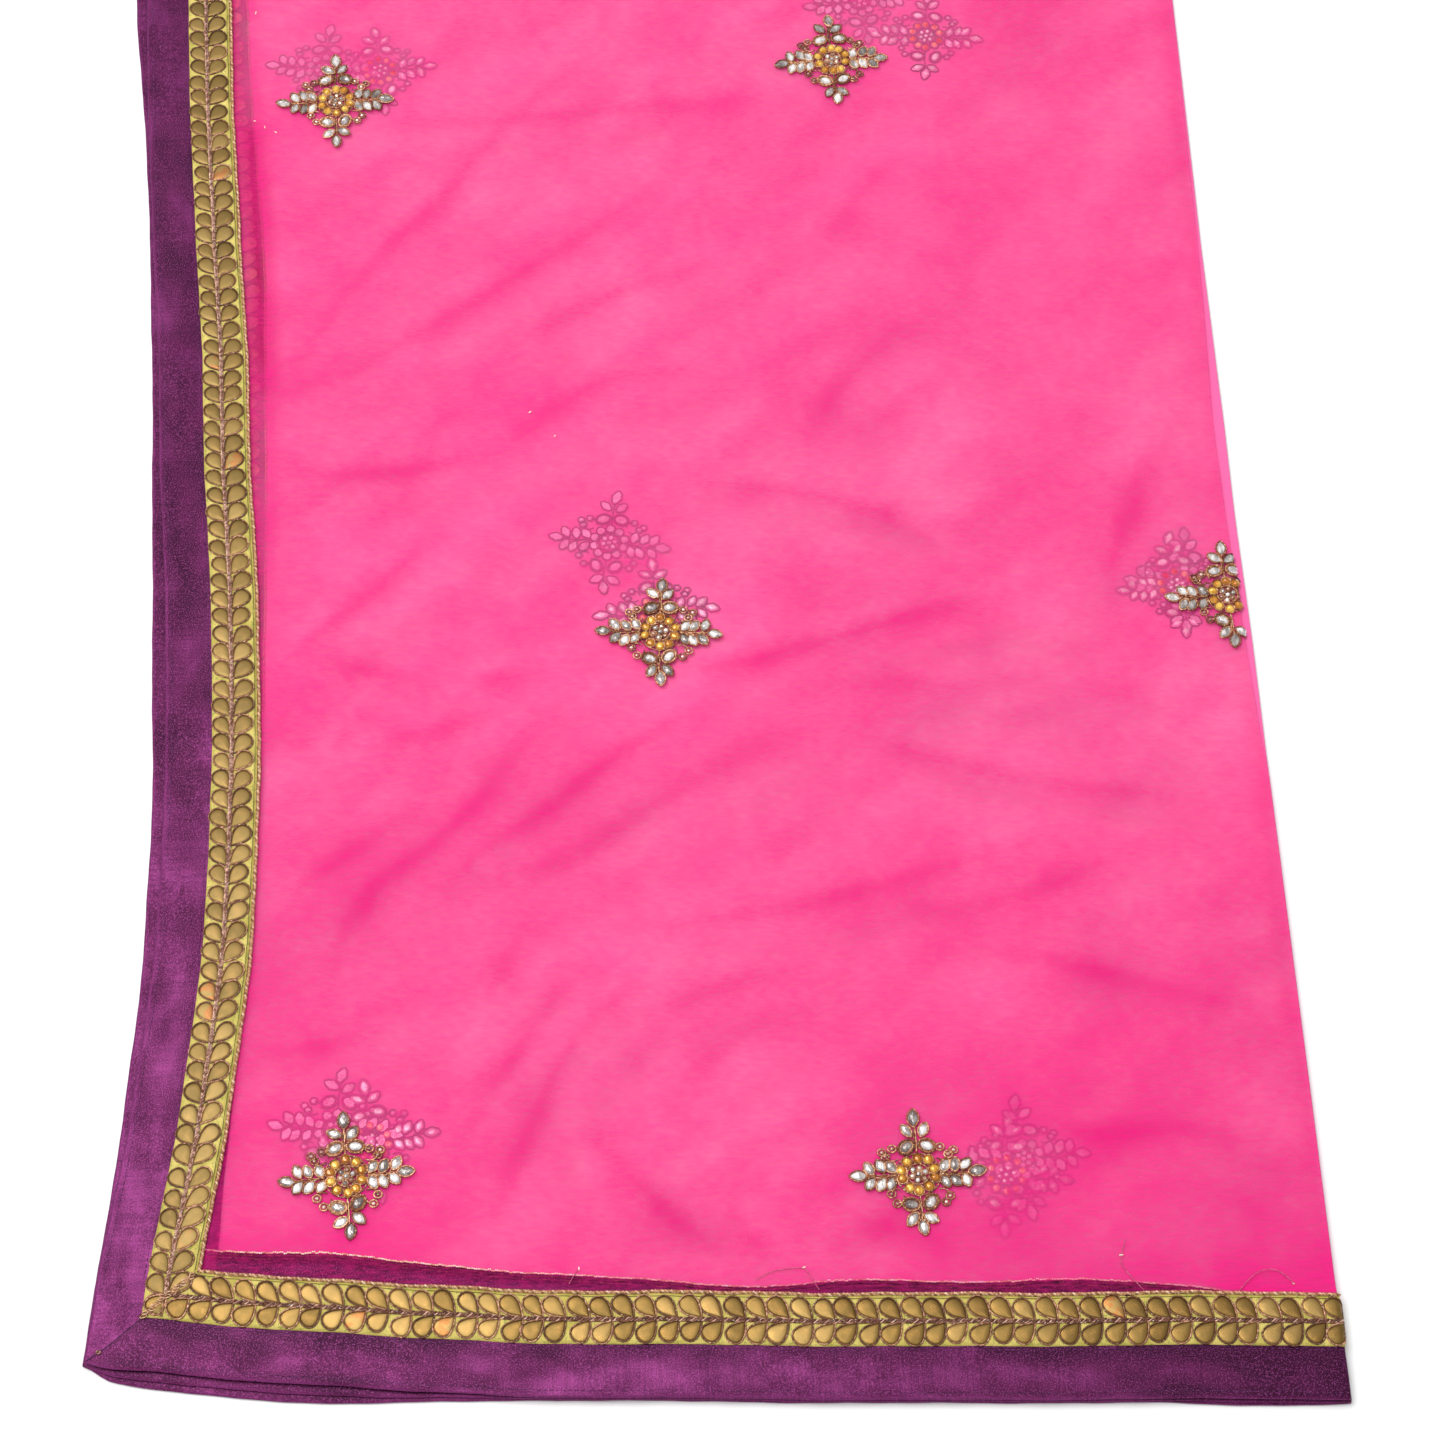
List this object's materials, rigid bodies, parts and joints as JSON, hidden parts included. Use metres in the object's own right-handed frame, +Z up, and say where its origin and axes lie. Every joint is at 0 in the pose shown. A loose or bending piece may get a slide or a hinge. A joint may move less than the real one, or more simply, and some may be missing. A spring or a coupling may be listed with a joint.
{
  "type": "folded dupatta stole",
  "caption": "Sheer net dupatta stole folded in four and laid flat, with satin border strips, gold leaf lace, twisted cord and embroidered stone motifs.",
  "frame": {"origin": "centre of the bounding box, on the surface that the folded cloth lies on", "axes": "+Y along the stole from its bordered end to the crosswise fold, +X towards the lengthwise fold, +Z up out of the cloth"},
  "size_m": [0.5494, 1.2003, 0.0077],
  "materials": {
    "net": "sheer hot-pink net with a fine rib",
    "satin": "purple dupion satin with slubs",
    "lace": "lime ribbon with gold gota leaves",
    "cord": "twisted copper-gold metallic thread",
    "embroidery": "antique gold wire with pale and amber stones"
  },
  "bodies": {
    "root": {"net_top_layer": "net", "net_hidden_layers": "net", "border_side": "satin", "border_end": "satin", "lace_side": "lace", "lace_end": "lace", "cord_side": "cord", "cord_end": "cord", "booti_01": "embroidery", "booti_02": "embroidery", "booti_03": "embroidery", "booti_04": "embroidery", "booti_05": "embroidery", "booti_06": "embroidery", "booti_07": "embroidery", "booti_08": "embroidery"}
  },
  "joints": []
}
